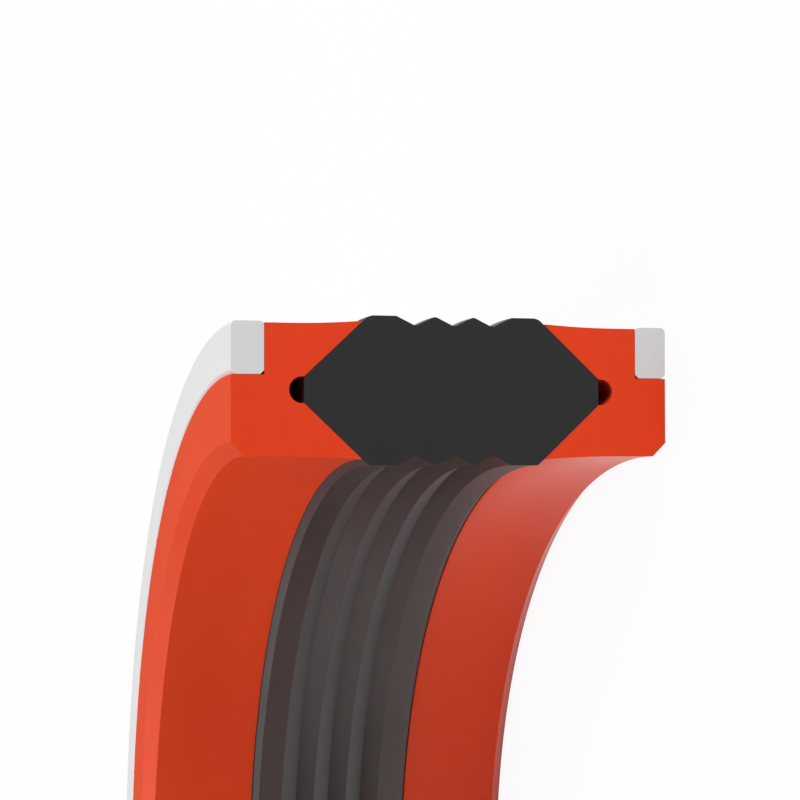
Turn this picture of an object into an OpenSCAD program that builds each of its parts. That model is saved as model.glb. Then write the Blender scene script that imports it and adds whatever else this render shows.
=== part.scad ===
// Compact double-acting piston seal, sectioned as on a display piece.
// A grooved rubber element sits between two support rings with V-shaped seats, and a
// guide ring lies in the outer corner of each support ring.
// The axis is Z and the lower end lies on Z = 0. The first cut face stands on the +X side,
// facing -Y, and the ring runs from there round by +Y and -X.

/* [Seal] */
// Diameter of the groove floor that the seal is stretched over
groove_d = 80; // [50:1:250]
// Height of the section, from the groove floor out to the cylinder wall
section_h = 10; // [8:0.5:14]
// Length of the whole seal along its axis
seal_l = 34.5; // [29:0.5:60]
// How far the ring runs round: 270 leaves a quarter cut away, 360 is the whole seal
ring_arc = 270; // [90:5:360]

/* [Rubber element] */
// How far the free rubber stands out past the cylinder wall
outer_squeeze = 0.56; // [0.3:0.02:1]
// How far the free rubber reaches in past the groove floor
inner_squeeze = 0.7; // [0.3:0.02:1]
// Distance from the end of the seal to the rubber's flat nose
nose_from_end = 5.58; // [4.5:0.05:7]
// Width of the flat nose
nose_w = 2; // [1.5:0.1:3]
// Angle between the rubber's flanks and the axis
flank_angle = 43; // [38:1:50]
// Spacing of the V grooves between the lands, which also sets how many there are
groove_pitch = 3.05; // [2:0.05:4]
// Depth of a V groove before its edges are rounded
groove_depth = 0.74; // [0.3:0.02:1]
// Least width of the plain land beside the grooves
land_min_w = 1.5; // [1:0.1:2]
// Rounding at the bottom of an outer groove
root_r = 0.45; // [0.1:0.05:0.8]
// Rounding on the crests between the outer grooves and on the edges of their lands
crest_r = 0.4; // [0.1:0.05:0.6]
// Rounding of the crests and roots of the grooves in the bore
bore_edge_r = 0.08; // [0.02:0.02:0.4]
// Rounding where the outer lands meet the flanks
shoulder_r = 0.9; // [0.1:0.05:1.2]

/* [Support rings] */
// Nip of the support rings' bore on the groove floor
bore_nip = 0.02; // [0:0.01:0.1]
// Gap between the outside of a support ring and the cylinder wall
wall_gap = 0.11; // [0.05:0.01:0.2]
// Chamfer on the inner corner of the end face
end_chamfer = 1.05; // [0.5:0.05:1.5]
// Distance from the end of the seal to where the lips begin to flare
flare_from_end = 4.4; // [3:0.1:5]
// Radius of the lips' flare, as seen in the section
flare_r = 65; // [50:1:150]
// Gap between the rubber's flanks and their seats
seat_gap = 0.02; // [0.01:0.01:0.15]
// Diameter of the relief channel at the root of the seat
channel_d = 2; // [1.6:0.1:2.6]
// How far the channel's centre lies behind the rubber's nose
channel_set = 0.18; // [0.1:0.02:0.4]

/* [Guide rings] */
// Width of a guide ring along the axis
guide_w = 2.5; // [1.5:0.1:3]
// Thickness of a guide ring along the radius
guide_t = 3.94; // [2.5:0.02:4.5]
// Chamfer on the two inner edges of a guide ring
guide_chamfer = 0.28; // [0.1:0.02:0.6]
// Rounding of the two outer edges of a guide ring
guide_edge_r = 0.36; // [0.1:0.02:0.7]
// Gap between a guide ring and its rebate in the support ring
guide_gap = 0.03; // [0.01:0.01:0.1]

/* [Hidden] */

// Flat steps in each rounded corner and in the flare of a lip
ROUND_STEPS = 6;
FLARE_STEPS = 8;
$fn = 96;

groove_r = groove_d / 2;
wall_r = groove_r + section_h;

// The rubber as moulded, before it is squeezed in place
land_in_r = groove_r - inner_squeeze;
land_out_r = wall_r + outer_squeeze;
mid_r = (land_in_r + land_out_r) / 2;
flank_run = 1 / tan(flank_angle);
shoulder_z = nose_from_end + (land_out_r - mid_r - nose_w / 2) * flank_run;

// Grooves fill the middle of the rubber and leave a land at each side
grooves = floor((seal_l - 2 * shoulder_z - 2 * land_min_w) / groove_pitch);
first_groove_z = (seal_l - grooves * groove_pitch) / 2;

// The seat follows the rubber's flanks at seat_gap, measured square to them
channel_z = nose_from_end - channel_set;
seat_lift = seat_gap / cos(flank_angle);

// The rebate follows the guide ring
rebate_r = wall_r - guide_t - guide_gap;
rebate_z = guide_w + guide_gap;

function unit(v) = v / norm(v);

// The corner at b of the path a, b, c, rounded to radius r
function rounded(a, b, c, r) =
    let (
        back = unit(a - b),
        ahead = unit(c - b),
        half = acos(back * ahead) / 2,
        centre = b + unit(back + ahead) * r / sin(half),
        start = b + back * r / tan(half) - centre,
        end = b + ahead * r / tan(half) - centre,
        side = sign(start.x * end.y - start.y * end.x),
        turn = side * (180 - 2 * half) / ROUND_STEPS
    )
    [for (i = [0:ROUND_STEPS])
        centre + [
            start.x * cos(i * turn) - start.y * sin(i * turn),
            start.x * sin(i * turn) + start.y * cos(i * turn),
        ]];

// A closed outline whose corners are [radius, height, rounding]
function outline(corners) =
    let (n = len(corners), p = [for (c = corners) [c[0], c[1]]])
    [for (i = [0:n - 1])
        each corners[i][2] == 0
            ? [p[i]]
            : rounded(p[(i + n - 1) % n], p[i], p[(i + 1) % n], corners[i][2])];

// Crests and roots of the grooves cut into a land of radius land_r, from the bottom up.
// way is 1 where they cut outwards into the bore and -1 where they cut inwards, and
// at_crest and at_root are their roundings
function groove_corners(land_r, way, at_crest, at_root) =
    [for (i = [0:2 * grooves])
        let (root = i % 2 == 1)
        [
            root ? land_r + way * groove_depth : land_r,
            first_groove_z + i * groove_pitch / 2,
            root ? at_root : at_crest,
        ]];

function reversed(list) = [for (i = [len(list) - 1:-1:0]) list[i]];

// Distance of the seat from the middle of the section at height z above the seal's end
function seat_half(z) = nose_w / 2 + (z - nose_from_end) / flank_run + seat_lift;

// How far a lip has flared at height z
function flare(z) = pow(max(0, z - flare_from_end), 2) / (2 * flare_r);

// The steps in height of a flaring lip, which ends past the rubber's shoulder
function flare_z(i) = flare_from_end + (shoulder_z - flare_from_end) * i / FLARE_STEPS;

module ring() {
    rotate_extrude(angle = ring_arc) children();
}

module at_upper_end() {
    translate([0, 0, seal_l]) mirror([0, 0, 1]) children();
}

module rubber_section() {
    polygon(outline(concat(
        [[mid_r - nose_w / 2, nose_from_end, 0], [land_in_r, shoulder_z, 0]],
        groove_corners(land_in_r, 1, bore_edge_r, bore_edge_r),
        [[land_in_r, seal_l - shoulder_z, 0]],
        [[mid_r - nose_w / 2, seal_l - nose_from_end, 0]],
        [[mid_r + nose_w / 2, seal_l - nose_from_end, 0]],
        [[land_out_r, seal_l - shoulder_z, shoulder_r]],
        reversed(groove_corners(land_out_r, -1, crest_r, root_r)),
        [[land_out_r, shoulder_z, shoulder_r], [mid_r + nose_w / 2, nose_from_end, 0]]
    )));
}

// The support ring before its seat is cut: end face, chamfer, rebate and flaring lips
module support_blank() {
    bore_r = groove_r - bore_nip;
    outside_r = wall_r - wall_gap;
    inner_lip = [for (i = [0:FLARE_STEPS]) [bore_r - flare(flare_z(i)), flare_z(i)]];
    outer_lip = [for (i = [0:FLARE_STEPS]) [outside_r + flare(flare_z(i)), flare_z(i)]];
    polygon(concat(
        [[rebate_r, 0], [bore_r + end_chamfer, 0], [bore_r, end_chamfer]],
        inner_lip,
        reversed(outer_lip),
        [[outside_r, rebate_z], [rebate_r, rebate_z]]
    ));
}

// The V-shaped seat, with the round relief channel at its root
module seat_cut() {
    past_z = shoulder_z + section_h;
    translate([mid_r, channel_z]) circle(d = channel_d);
    polygon([
        [mid_r - seat_half(channel_z), channel_z],
        [mid_r - seat_half(past_z), past_z],
        [mid_r + seat_half(past_z), past_z],
        [mid_r + seat_half(channel_z), channel_z],
    ]);
}

module guide_section() {
    inside_r = wall_r - guide_t;
    c = guide_chamfer;
    polygon(outline([
        [inside_r + c, 0, 0], [wall_r, 0, guide_edge_r], [wall_r, guide_w, guide_edge_r],
        [inside_r + c, guide_w, 0], [inside_r, guide_w - c, 0], [inside_r, c, 0],
    ]));
}

module seal_element() {
    color("#343434") ring() rubber_section();
}

module support_ring() {
    color("#e0462a") ring() difference() {
        support_blank();
        seat_cut();
    }
}

module guide_ring() {
    color("#e6e3df") ring() guide_section();
}

module upper_support_ring() {
    at_upper_end() support_ring();
}

module lower_support_ring() {
    support_ring();
}

module upper_guide_ring() {
    at_upper_end() guide_ring();
}

module lower_guide_ring() {
    guide_ring();
}

seal_element();
upper_support_ring();
lower_support_ring();
upper_guide_ring();
lower_guide_ring();
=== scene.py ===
"""The looks of a compact piston seal that has been cut through to show its section: a moulded
nitrile rubber ring between two support rings of polyester elastomer, with a turned acetal guide
ring in the outer corner of each. Each ring is drawn as a section, rounded, spun and finished."""

import math

import bmesh
import bpy
from mathutils import Matrix, Vector


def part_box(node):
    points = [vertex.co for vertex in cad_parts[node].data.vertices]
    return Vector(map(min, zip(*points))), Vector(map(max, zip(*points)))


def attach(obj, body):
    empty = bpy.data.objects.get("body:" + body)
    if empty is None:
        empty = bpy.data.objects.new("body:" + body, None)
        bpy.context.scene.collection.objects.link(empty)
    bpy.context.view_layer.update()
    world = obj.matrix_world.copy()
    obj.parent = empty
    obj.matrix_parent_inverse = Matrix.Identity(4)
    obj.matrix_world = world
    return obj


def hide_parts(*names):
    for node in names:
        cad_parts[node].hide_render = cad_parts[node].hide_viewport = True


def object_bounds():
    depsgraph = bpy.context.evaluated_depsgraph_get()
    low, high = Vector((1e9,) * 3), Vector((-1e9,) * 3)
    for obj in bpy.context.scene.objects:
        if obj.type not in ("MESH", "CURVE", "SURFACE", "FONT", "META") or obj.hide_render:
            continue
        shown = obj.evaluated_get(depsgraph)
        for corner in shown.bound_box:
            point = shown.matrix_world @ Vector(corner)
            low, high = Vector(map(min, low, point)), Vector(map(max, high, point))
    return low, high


MM = 0.001

# The arc that is left of the ring, and the steps in which it is spun
RING_ARC = math.radians(270)
SPIN_STEPS = 216

# The section of the rubber element, in millimetres
NOSE_W = 2.0
FLANK_ANGLE = math.radians(43)
GROOVES = 3
GROOVE_PITCH = 3.05
GROOVE_DEPTH = 0.74
LAND_IN_R = 39.3
ROOT_R = 0.45
CREST_R = 0.4
BORE_EDGE_R = 0.08
SHOULDER_R = 0.9

# The section of the support rings, in millimetres
BORE_R = 39.98
OUTSIDE_R = 49.89
END_CHAMFER = 1.05
FLARE_FROM_END = 4.4
FLARE_R = 65.0
SEAT_GAP = 0.02
CHANNEL_R = 1.0
CHANNEL_SET = 0.18

# The section of the guide rings, in millimetres
GUIDE_T = 3.94
GUIDE_CHAMFER = 0.28
GUIDE_EDGE_R = 0.36
GUIDE_GAP = 0.03

# Softness of a moulded or turned edge that a drawing calls sharp, and of a lip's thin tip,
# which leaves a dark crevice beside the rubber
EDGE_R = 0.06
LIP_R = 0.08

# Flat steps in a softened edge and in a true rounding
EDGE_STEPS = 2
ROUND_STEPS = 6

# Faces that meet at less than this are shaded as one smooth surface
SMOOTH_BELOW = math.radians(20)

# Two points closer than this are one point, in metres
SAME_PLACE = 1e-7

# Turns the middle of the missing quarter, at 315 degrees, to the seam of an angle, at 180
SEAM_TURN = math.radians(225)

# The camera: where it stands, the point that it looks at, both in millimetres, and its turn
# about that line from having +X straight up
CAMERA_AT = (39.32, -150.07, 65.21)
CAMERA_AIM = (44.22, 0.0, 21.55)
CAMERA_TURN = math.radians(-0.07)
CAMERA_LENS = 93.6
SENSOR_W = 36.0

# Width of the floor in metres, and the share of it near the ring that shows plain white. The
# rest is its own lit colour with the shadow, which fades out between two distances, in
# metres, so that the floor meets the white surround without a line
FLOOR_SIZE = 6.0
FLOOR_WHITE = 0.93
FADE_FROM = 0.2
FADE_TO = 1.0

# The share of the white surround that reflections show. All of it would veil the colour of
# the ring's ends, which the camera sees at a low angle
SURROUND_GLOSS = 0.02

# The softboxes face this point, in metres
RING_MIDDLE = (0.03, 0.0, 0.02)

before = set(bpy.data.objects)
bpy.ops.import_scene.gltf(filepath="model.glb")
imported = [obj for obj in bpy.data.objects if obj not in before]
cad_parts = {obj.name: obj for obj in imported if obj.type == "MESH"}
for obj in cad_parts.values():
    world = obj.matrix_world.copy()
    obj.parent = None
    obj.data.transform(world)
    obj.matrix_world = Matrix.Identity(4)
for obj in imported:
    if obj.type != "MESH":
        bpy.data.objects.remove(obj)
cad_box = [list(corner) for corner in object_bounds()]

# Sizes that the parts in model.glb give, in millimetres
SEAL_L = cad_box[1][2] / MM
LAND_OUT_R = cad_box[1][0] / MM
NOSE_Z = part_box("seal_element")[0].z / MM
WALL_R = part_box("lower_guide_ring")[1].x / MM
GUIDE_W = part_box("lower_guide_ring")[1].z / MM
MID_R = (LAND_IN_R + LAND_OUT_R) / 2


def linear(hex_colour):
    """An sRGB hex value as a linear colour with alpha."""
    channels = [int(hex_colour[i : i + 2], 16) / 255 for i in (1, 3, 5)]
    return [c / 12.92 if c <= 0.04045 else ((c + 0.055) / 1.055) ** 2.4 for c in channels] + [1]


def add(tree, kind, inputs=None, **settings):
    """Adds a node with its settings, and gives each input its value or its link."""
    node = tree.nodes.new(kind)
    for name, value in settings.items():
        setattr(node, name, value)
    for socket, value in (inputs or {}).items():
        if isinstance(value, bpy.types.NodeSocket):
            tree.links.new(value, node.inputs[socket])
        else:
            node.inputs[socket].default_value = value
    return node


# The sections


def groove_corners(land_r, way, at_crest, at_root):
    """Crests and roots of the grooves from the bottom up. way is 1 where they cut outwards."""
    first = (SEAL_L - GROOVES * GROOVE_PITCH) / 2
    return [
        (
            land_r + way * GROOVE_DEPTH * (i % 2),
            first + i * GROOVE_PITCH / 2,
            at_root if i % 2 else at_crest,
        )
        for i in range(2 * GROOVES + 1)
    ]


def rubber_corners():
    """The rubber's outline as (radius, height, rounding), up the inside and down the outside."""
    shoulder_z = NOSE_Z + (LAND_OUT_R - MID_R - NOSE_W / 2) / math.tan(FLANK_ANGLE)
    inner, outer = MID_R - NOSE_W / 2, MID_R + NOSE_W / 2
    return [
        (inner, NOSE_Z, EDGE_R),
        (LAND_IN_R, shoulder_z, EDGE_R),
        *groove_corners(LAND_IN_R, 1, BORE_EDGE_R, BORE_EDGE_R),
        (LAND_IN_R, SEAL_L - shoulder_z, EDGE_R),
        (inner, SEAL_L - NOSE_Z, EDGE_R),
        (outer, SEAL_L - NOSE_Z, EDGE_R),
        (LAND_OUT_R, SEAL_L - shoulder_z, SHOULDER_R),
        *reversed(groove_corners(LAND_OUT_R, -1, CREST_R, ROOT_R)),
        (LAND_OUT_R, shoulder_z, SHOULDER_R),
        (outer, NOSE_Z, EDGE_R),
    ]


def seat_half(height):
    """Distance of the seat from the middle of the section, at a height above the seal's end."""
    lift = SEAT_GAP / math.cos(FLANK_ANGLE)
    return NOSE_W / 2 + (height - NOSE_Z) * math.tan(FLANK_ANGLE) + lift


def lip_points(from_r, way, steps=8):
    """A lip's flare from its start to its tip on the seat, at even heights, rounded at the tip.
    way is 1 for a lip that flares outwards and -1 for one that flares inwards."""

    def flared(height):
        return from_r + way * (height - FLARE_FROM_END) ** 2 / (2 * FLARE_R)

    tip = FLARE_FROM_END + 1
    for _ in range(40):  # closes in on the height at which the flare meets the seat
        tip = NOSE_Z + (abs(flared(tip) - MID_R) - seat_half(NOSE_Z)) / math.tan(FLANK_ANGLE)
    heights = [FLARE_FROM_END + (tip - FLARE_FROM_END) * i / steps for i in range(steps + 1)]
    return [(flared(z), z, LIP_R if z == heights[-1] else 0) for z in heights]


def channel_points(steps=20):
    """The relief channel's arc, from where it leaves the inner seat to where it meets the outer."""
    centre_z = NOSE_Z - CHANNEL_SET
    slope = math.tan(FLANK_ANGLE)
    # The seat's line is at rise + slope * z from the middle, z measured from the centre
    rise = seat_half(centre_z)
    root = math.sqrt(CHANNEL_R**2 * (1 + slope**2) - rise**2)
    cross_z = (root - rise * slope) / (1 + slope**2)
    start = math.atan2(cross_z, rise + slope * cross_z)
    turns = [start - (math.pi + 2 * start) * i / steps for i in range(steps + 1)]
    return [
        (MID_R - CHANNEL_R * math.cos(a), centre_z + CHANNEL_R * math.sin(a), 0) for a in turns
    ]


def support_corners():
    """A lower support ring's outline, from the rebate round by the bore, seat and outside."""
    rebate_r, rebate_z = WALL_R - GUIDE_T - GUIDE_GAP, GUIDE_W + GUIDE_GAP
    return [
        (rebate_r, 0, EDGE_R),
        (BORE_R + END_CHAMFER, 0, EDGE_R),
        (BORE_R, END_CHAMFER, EDGE_R),
        *lip_points(BORE_R, -1),
        *channel_points(),
        *reversed(lip_points(OUTSIDE_R, 1)),
        (OUTSIDE_R, rebate_z, EDGE_R),
        (rebate_r, rebate_z, 0),
    ]


def guide_corners():
    """A lower guide ring's outline: chamfered at its inner edges and rounded at its outer ones."""
    inside_r = WALL_R - GUIDE_T
    return [
        (inside_r + GUIDE_CHAMFER, 0, 0),
        (WALL_R, 0, GUIDE_EDGE_R),
        (WALL_R, GUIDE_W, GUIDE_EDGE_R),
        (inside_r + GUIDE_CHAMFER, GUIDE_W, 0),
        (inside_r, GUIDE_W - GUIDE_CHAMFER, 0),
        (inside_r, GUIDE_CHAMFER, 0),
    ]


def turned_over(corners):
    """The same outline at the upper end."""
    return [(r, SEAL_L - z, rounding) for r, z, rounding in corners]


# Shaping


def select_vertices(piece, chosen):
    """Selects the vertices for which chosen(place) is true, and nothing else."""
    bpy.ops.mesh.select_all(action="DESELECT")
    shape = bmesh.from_edit_mesh(piece.data)
    for vertex in shape.verts:
        vertex.select = chosen(vertex.co)
    shape.select_flush_mode()
    bmesh.update_edit_mesh(piece.data)


def turn_at(before, corner, after):
    """The angle by which an outline turns at a corner."""
    return (corner - before).angle(after - corner)


def draw_section(name, corners):
    """Draws a section in the XZ plane, one extruded edge after another, and rounds its corners."""
    places = [Vector((r, 0, z)) * MM for r, z, _ in corners]
    bpy.ops.object.select_all(action="DESELECT")
    bpy.ops.mesh.primitive_plane_add(size=MM, location=places[0], rotation=(math.pi / 2, 0, 0))
    piece = bpy.context.object
    piece.name = piece.data.name = name
    bpy.ops.object.transform_apply(location=True, rotation=True, scale=True)
    bpy.ops.object.mode_set(mode="EDIT")
    bpy.ops.mesh.select_mode(type="VERT")
    bpy.ops.mesh.select_all(action="SELECT")
    bpy.ops.mesh.merge(type="CENTER")
    for here, there in zip(places, places[1:]):
        bpy.ops.mesh.extrude_region_move(TRANSFORM_OT_translate={"value": there - here})
    ends = (places[0], places[-1])
    select_vertices(piece, lambda at: min((at - end).length for end in ends) < SAME_PLACE)
    bpy.ops.mesh.edge_face_add()
    bpy.ops.mesh.select_all(action="SELECT")
    bpy.ops.mesh.edge_face_add()
    for rounding in sorted({c[2] for c in corners if c[2]}):
        for i, place in enumerate(places):
            if corners[i][2] != rounding:
                continue
            turn = turn_at(places[i - 1], place, places[(i + 1) % len(places)])
            select_vertices(piece, lambda at: (at - place).length < SAME_PLACE)
            bpy.ops.mesh.bevel(
                offset=rounding * MM * math.tan(turn / 2),
                segments=EDGE_STEPS if rounding <= EDGE_R else ROUND_STEPS,
                affect="VERTICES",
            )
    return piece


def spin_ring(piece):
    """Spins the drawn section round the axis and leaves a closed ring with two cut faces."""
    bpy.ops.mesh.select_all(action="SELECT")
    bpy.ops.mesh.spin(steps=SPIN_STEPS, angle=RING_ARC, center=(0, 0, 0), axis=(0, 0, -1))
    bpy.ops.mesh.select_all(action="SELECT")
    bpy.ops.mesh.remove_doubles(threshold=SAME_PLACE)
    bpy.ops.mesh.normals_make_consistent(inside=False)
    bpy.ops.object.mode_set(mode="OBJECT")


def make_ring(name, corners, node, slot, moulded, cut):
    """One ring from its section, with the moulded or turned finish all round and the cut one
    on its two ends, in the place of its node."""
    piece = draw_section(name, corners)
    spin_ring(piece)
    piece.data.materials.append(moulded)
    piece.data.materials.append(cut)
    # Spun faces have four corners, and the two cut faces have one for each corner of the section
    for face in piece.data.polygons:
        face.material_index = 1 if len(face.vertices) > 4 else 0
    bpy.ops.object.shade_smooth_by_angle(angle=SMOOTH_BELOW)
    # Flat faces stay flat up to their softened edges
    bpy.ops.object.modifier_add(type="WEIGHTED_NORMAL")
    piece.modifiers[-1].keep_sharp = True
    bpy.ops.object.modifier_apply(modifier=piece.modifiers[-1].name)
    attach(piece, "root")
    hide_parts(node)


# Finishes


def new_material(name):
    """A material with an empty node tree."""
    material = bpy.data.materials.new(name)
    material.use_nodes = True
    material.node_tree.nodes.clear()
    return material


def ring_places(tree):
    """A point's place on the ring as (radius, height, way round), in millimetres. The pattern
    is turned so that the seam of its angle falls in the missing quarter."""
    where = add(tree, "ShaderNodeTexCoord")
    turned = add(
        tree,
        "ShaderNodeMapping",
        {"Vector": where.outputs["Object"], "Rotation": (0, 0, SEAM_TURN), "Scale": (1 / MM,) * 3},
    ).outputs[0]
    across = add(tree, "ShaderNodeVectorMath", {0: turned, 1: (1, 1, 0)}, operation="MULTIPLY")
    radius = add(tree, "ShaderNodeVectorMath", {0: across.outputs[0]}, operation="LENGTH")
    split = add(tree, "ShaderNodeSeparateXYZ", {0: turned})
    angle = add(
        tree,
        "ShaderNodeMath",
        {0: split.outputs["Y"], 1: split.outputs["X"]},
        operation="ARCTAN2",
    )
    way_round = add(tree, "ShaderNodeMath", {0: angle.outputs[0], 1: MID_R}, operation="MULTIPLY")
    return add(
        tree,
        "ShaderNodeCombineXYZ",
        {0: radius.outputs["Value"], 1: split.outputs["Z"], 2: way_round.outputs[0]},
    ).outputs[0]


def finish(tree, colour, roughness, height, depth, ior, gloss):
    """The shader that each finish ends in. height is a pattern, and depth is how far a height
    of 1 stands out, in millimetres. gloss is the strength of the reflection: 0.5 is a clean
    flat surface, a film of wax gives more, and pits that keep part of it give less."""
    relief = add(tree, "ShaderNodeBump", {"Distance": depth * MM, "Height": height})
    shader = add(
        tree,
        "ShaderNodeBsdfPrincipled",
        {
            "Base Color": colour,
            "Roughness": roughness,
            "IOR": ior,
            "Specular IOR Level": gloss,
            "Normal": relief.outputs[0],
        },
    )
    add(tree, "ShaderNodeOutputMaterial", {"Surface": shader.outputs[0]})


def moulded_nitrile():
    """Black nitrile rubber, moulded: the die gives it a fine even grain and faint lines round
    the ring from its turning, and a thin waxy bloom lies on it in soft grey patches, with a
    broad sheen that shows which way each side of a groove faces."""
    material = new_material("moulded_nitrile_rubber")
    tree = material.node_tree
    place = ring_places(tree)
    bloom = add(tree, "ShaderNodeTexNoise", {"Vector": place, "Scale": 1 / 6, "Detail": 4})
    colour = add(
        tree,
        "ShaderNodeMix",
        {0: bloom.outputs[0], 6: linear("#292a2a"), 7: linear("#2f302f")},
        data_type="RGBA",
    )
    roughness = add(
        tree,
        "ShaderNodeMapRange",
        {
            "Value": bloom.outputs[0],
            "From Min": 0.3,
            "From Max": 0.7,
            "To Min": 0.48,
            "To Max": 0.56,
        },
    )
    # The die's grain is about 0.1 mm and is drawn at 0.25 mm, so that it shows
    grain = add(tree, "ShaderNodeTexNoise", {"Vector": place, "Scale": 1 / 0.25, "Detail": 2})
    drawn_out = add(
        tree,
        "ShaderNodeMapping",
        {"Vector": place, "Scale": (1 / 0.4, 1 / 0.4, 1 / 30)},
    )
    lines = add(
        tree,
        "ShaderNodeTexNoise",
        {"Vector": drawn_out.outputs[0], "Scale": 1, "Detail": 2},
    )
    height = add(
        tree,
        "ShaderNodeMath",
        {0: grain.outputs[0], 1: lines.outputs[0]},
        operation="ADD",
    )
    surface = (colour.outputs[2], roughness.outputs[0], height.outputs[0])
    finish(tree, *surface, depth=0.006, ior=1.52, gloss=1.0)
    return material


def cut_nitrile():
    """Black nitrile rubber where the blade went through: flat and matt, with the filler's faint
    specks and the blade's fine lines, which run across the section."""
    material = new_material("cut_nitrile_rubber")
    tree = material.node_tree
    place = ring_places(tree)
    specks = add(tree, "ShaderNodeTexNoise", {"Vector": place, "Scale": 1 / 0.3, "Detail": 3})
    colour = add(
        tree,
        "ShaderNodeMix",
        {0: specks.outputs[0], 6: linear("#272828"), 7: linear("#2a2b2b")},
        data_type="RGBA",
    )
    drawn_out = add(tree, "ShaderNodeMapping", {"Vector": place, "Scale": (1 / 25, 1 / 0.35, 1)})
    lines = add(
        tree,
        "ShaderNodeTexNoise",
        {"Vector": drawn_out.outputs[0], "Scale": 1, "Detail": 3},
    )
    roughness = add(
        tree,
        "ShaderNodeMapRange",
        {"Value": lines.outputs[0], "To Min": 0.74, "To Max": 0.84},
    )
    surface = (colour.outputs[2], roughness.outputs[0], lines.outputs[0])
    finish(tree, *surface, depth=0.003, ior=1.5, gloss=0.35)
    return material


def moulded_elastomer():
    """Orange-red polyester elastomer, injection moulded: a smooth satin skin with a fine grain,
    and colour that drifts a little in soft streaks where the melt ran round the ring."""
    material = new_material("moulded_polyester_elastomer")
    tree = material.node_tree
    place = ring_places(tree)
    run_out = add(tree, "ShaderNodeMapping", {"Vector": place, "Scale": (1 / 4, 1 / 4, 1 / 18)})
    streaks = add(
        tree,
        "ShaderNodeTexNoise",
        {"Vector": run_out.outputs[0], "Scale": 1, "Detail": 5},
    )
    colour = add(
        tree,
        "ShaderNodeMix",
        {0: streaks.outputs[0], 6: linear("#f04f27"), 7: linear("#f6552d")},
        data_type="RGBA",
    )
    roughness = add(
        tree,
        "ShaderNodeMapRange",
        {
            "Value": streaks.outputs[0],
            "From Min": 0.3,
            "From Max": 0.7,
            "To Min": 0.3,
            "To Max": 0.38,
        },
    )
    # The skin's grain is about 0.1 mm and is drawn at 0.3 mm, so that it shows
    grain = add(tree, "ShaderNodeTexNoise", {"Vector": place, "Scale": 1 / 0.3, "Detail": 3})
    surface = (colour.outputs[2], roughness.outputs[0], grain.outputs[0])
    finish(tree, *surface, depth=0.005, ior=1.5, gloss=0.2)
    return material


def cut_elastomer():
    """Orange-red polyester elastomer where the blade went through: matt and even, a little
    deeper in colour than the skin, with fine lines across the section."""
    material = new_material("cut_polyester_elastomer")
    tree = material.node_tree
    place = ring_places(tree)
    clouds = add(tree, "ShaderNodeTexNoise", {"Vector": place, "Scale": 1 / 2, "Detail": 5})
    colour = add(
        tree,
        "ShaderNodeMix",
        {0: clouds.outputs[0], 6: linear("#f13e05"), 7: linear("#f54109")},
        data_type="RGBA",
    )
    drawn_out = add(tree, "ShaderNodeMapping", {"Vector": place, "Scale": (1 / 20, 1 / 0.3, 1)})
    lines = add(
        tree,
        "ShaderNodeTexNoise",
        {"Vector": drawn_out.outputs[0], "Scale": 1, "Detail": 3},
    )
    roughness = add(
        tree,
        "ShaderNodeMapRange",
        {"Value": lines.outputs[0], "To Min": 0.68, "To Max": 0.8},
    )
    surface = (colour.outputs[2], roughness.outputs[0], lines.outputs[0])
    finish(tree, *surface, depth=0.003, ior=1.5, gloss=0.35)
    return material


def turned_acetal():
    """White acetal, turned: a waxy satin white with the tool's fine feed lines, which run round
    the ring on its ends and its walls alike."""
    material = new_material("turned_acetal")
    tree = material.node_tree
    place = ring_places(tree)
    # The feed is about 0.1 mm a turn and is drawn at 0.25 mm, so that it shows
    drawn_out = add(
        tree,
        "ShaderNodeMapping",
        {"Vector": place, "Scale": (1 / 0.25, 1 / 0.25, 1 / 40)},
    )
    feed = add(
        tree,
        "ShaderNodeTexNoise",
        {"Vector": drawn_out.outputs[0], "Scale": 1, "Detail": 2},
    )
    clouds = add(tree, "ShaderNodeTexNoise", {"Vector": place, "Scale": 1 / 5, "Detail": 4})
    colour = add(
        tree,
        "ShaderNodeMix",
        {0: clouds.outputs[0], 6: linear("#ecedec"), 7: linear("#f0f0f0")},
        data_type="RGBA",
    )
    roughness = add(
        tree,
        "ShaderNodeMapRange",
        {
            "Value": feed.outputs[0],
            "From Min": 0.3,
            "From Max": 0.7,
            "To Min": 0.33,
            "To Max": 0.42,
        },
    )
    surface = (colour.outputs[2], roughness.outputs[0], feed.outputs[0])
    finish(tree, *surface, depth=0.005, ior=1.48, gloss=0.15)
    return material


def cut_acetal():
    """White acetal where the saw went through: matt, a shade greyer than the turned skin, with
    fine straight lines across the section."""
    material = new_material("cut_acetal")
    tree = material.node_tree
    place = ring_places(tree)
    drawn_out = add(tree, "ShaderNodeMapping", {"Vector": place, "Scale": (1 / 15, 1 / 0.25, 1)})
    lines = add(
        tree,
        "ShaderNodeTexNoise",
        {"Vector": drawn_out.outputs[0], "Scale": 1, "Detail": 3},
    )
    colour = add(
        tree,
        "ShaderNodeMix",
        {0: lines.outputs[0], 6: linear("#e4e6e6"), 7: linear("#e8eaea")},
        data_type="RGBA",
    )
    roughness = add(
        tree,
        "ShaderNodeMapRange",
        {"Value": lines.outputs[0], "To Min": 0.62, "To Max": 0.74},
    )
    surface = (colour.outputs[2], roughness.outputs[0], lines.outputs[0])
    finish(tree, *surface, depth=0.003, ior=1.48, gloss=0.35)
    return material


# Stage, light and camera


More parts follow.
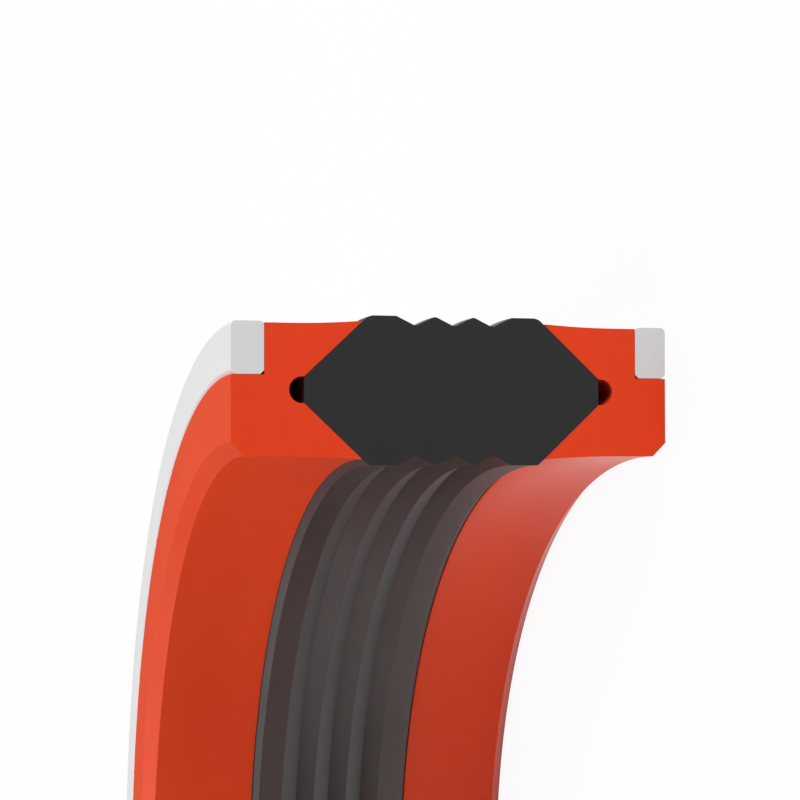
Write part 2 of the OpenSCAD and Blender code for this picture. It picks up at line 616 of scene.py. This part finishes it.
def make_floor():
    """A plain pale floor that shows white to the camera and in reflections and keeps a shadow."""
    bpy.ops.object.select_all(action="DESELECT")
    bpy.ops.mesh.primitive_plane_add(size=FLOOR_SIZE)
    floor = bpy.context.object
    floor.name = "floor"
    material = bpy.data.materials.new("pale_floor")
    material.use_nodes = True
    tree = material.node_tree
    tree.nodes.clear()
    path = add(tree, "ShaderNodeLightPath")
    seen_or_mirrored = add(
        tree,
        "ShaderNodeMath",
        {0: path.outputs["Is Camera Ray"], 1: path.outputs["Is Glossy Ray"]},
        operation="MAXIMUM",
    )
    shown = add(
        tree,
        "ShaderNodeMath",
        {0: seen_or_mirrored.outputs[0], 1: path.outputs["Is Transmission Ray"]},
        operation="MAXIMUM",
    )
    where = add(tree, "ShaderNodeTexCoord")
    away = add(tree, "ShaderNodeVectorMath", {0: where.outputs["Object"]}, operation="LENGTH")
    whiteness = add(
        tree,
        "ShaderNodeMapRange",
        {
            "Value": away.outputs["Value"],
            "From Min": FADE_FROM,
            "From Max": FADE_TO,
            "To Min": FLOOR_WHITE,
            "To Max": 1.0,
        },
        interpolation_type="SMOOTHSTEP",
    )
    share = add(
        tree,
        "ShaderNodeMath",
        {0: shown.outputs[0], 1: whiteness.outputs[0]},
        operation="MULTIPLY",
    )
    diffuse = add(tree, "ShaderNodeBsdfDiffuse", {"Color": linear("#f3f3f3")})
    white = add(tree, "ShaderNodeEmission", {"Color": linear("#ffffff"), "Strength": 1.0})
    mix = add(
        tree,
        "ShaderNodeMixShader",
        {0: share.outputs[0], 1: diffuse.outputs[0], 2: white.outputs[0]},
    )
    output = add(tree, "ShaderNodeOutputMaterial")
    tree.links.new(mix.outputs[0], output.inputs["Surface"])
    floor.data.materials.append(material)


def make_studio(fill):
    """A dim even surround, which fills the shadows. The camera sees it as plain white."""
    world = bpy.data.worlds.new("studio")
    bpy.context.scene.world = world
    world.use_nodes = True
    tree = world.node_tree
    tree.nodes.clear()
    path = add(tree, "ShaderNodeLightPath")
    seen = add(
        tree,
        "ShaderNodeMath",
        {0: path.outputs["Is Camera Ray"], 1: path.outputs["Is Transmission Ray"]},
        operation="MAXIMUM",
    )
    mirrored = add(
        tree,
        "ShaderNodeMath",
        {0: path.outputs["Is Glossy Ray"], 1: SURROUND_GLOSS, 2: seen.outputs[0]},
        operation="MULTIPLY_ADD",
    )
    strength = add(
        tree,
        "ShaderNodeMapRange",
        {"Value": mirrored.outputs[0], "To Min": fill, "To Max": 1.0},
    )
    light = add(
        tree,
        "ShaderNodeBackground",
        {"Color": linear("#ffffff"), "Strength": strength.outputs[0]},
    )
    add(tree, "ShaderNodeOutputWorld", {"Surface": light.outputs[0]})


def make_softbox(name, at, width, power):
    """A square lamp that stands at a point in metres and faces the ring. It isn't seen itself."""
    data = bpy.data.lights.new(name, "AREA")
    data.shape, data.size, data.energy = "SQUARE", width, power
    lamp = bpy.data.objects.new(name, data)
    lamp.visible_camera = False
    lamp.location = at
    facing = Vector(RING_MIDDLE) - Vector(at)
    lamp.rotation_euler = facing.to_track_quat("-Z", "Y").to_euler()
    bpy.context.scene.collection.objects.link(lamp)


def make_camera():
    """The camera of the photograph: square on to the cut face, with the ring's axis lying
    across the picture."""
    at, aim = Vector(CAMERA_AT) * MM, Vector(CAMERA_AIM) * MM
    ahead = (aim - at).normalized()
    right = ahead.cross(Vector((1, 0, 0))).normalized()
    up = right.cross(ahead)
    turned = Matrix.Rotation(CAMERA_TURN, 3, "Z")
    facing = Matrix((right, up, -ahead)).transposed() @ turned
    data = bpy.data.cameras.new("camera")
    data.lens, data.sensor_width = CAMERA_LENS, SENSOR_W
    data.clip_start, data.clip_end = 0.01, 20
    camera = bpy.data.objects.new("camera", data)
    camera.matrix_world = Matrix.Translation(at) @ facing.to_4x4()
    bpy.context.scene.collection.objects.link(camera)
    bpy.context.scene.camera = camera


make_camera()
make_floor()
make_studio(fill=0.09)
make_softbox("top", at=(0.04, 0.14, 1.18), width=1.3, power=13.1)
make_softbox("left", at=(-1.0, 0.0, 0.60), width=1.2, power=5.1)
make_softbox("low_right", at=(1.2, -0.50, 0.30), width=0.7, power=11.7)

rubber = (moulded_nitrile(), cut_nitrile())
elastomer = (moulded_elastomer(), cut_elastomer())
acetal = (turned_acetal(), cut_acetal())

make_ring("grooved_rubber_ring", rubber_corners(), "seal_element", "nitrile_rubber", *rubber)
# The outlines are those of the lower end, and list leaves them as they are
for end, shaped in (("lower", list), ("upper", turned_over)):
    make_ring(
        end + "_v_seat_ring",
        shaped(support_corners()),
        end + "_support_ring",
        "polyester_elastomer",
        *elastomer,
    )
    make_ring(
        end + "_bearing_ring",
        shaped(guide_corners()),
        end + "_guide_ring",
        "acetal",
        *acetal,
    )

bpy.context.scene.view_settings.view_transform = "Standard"
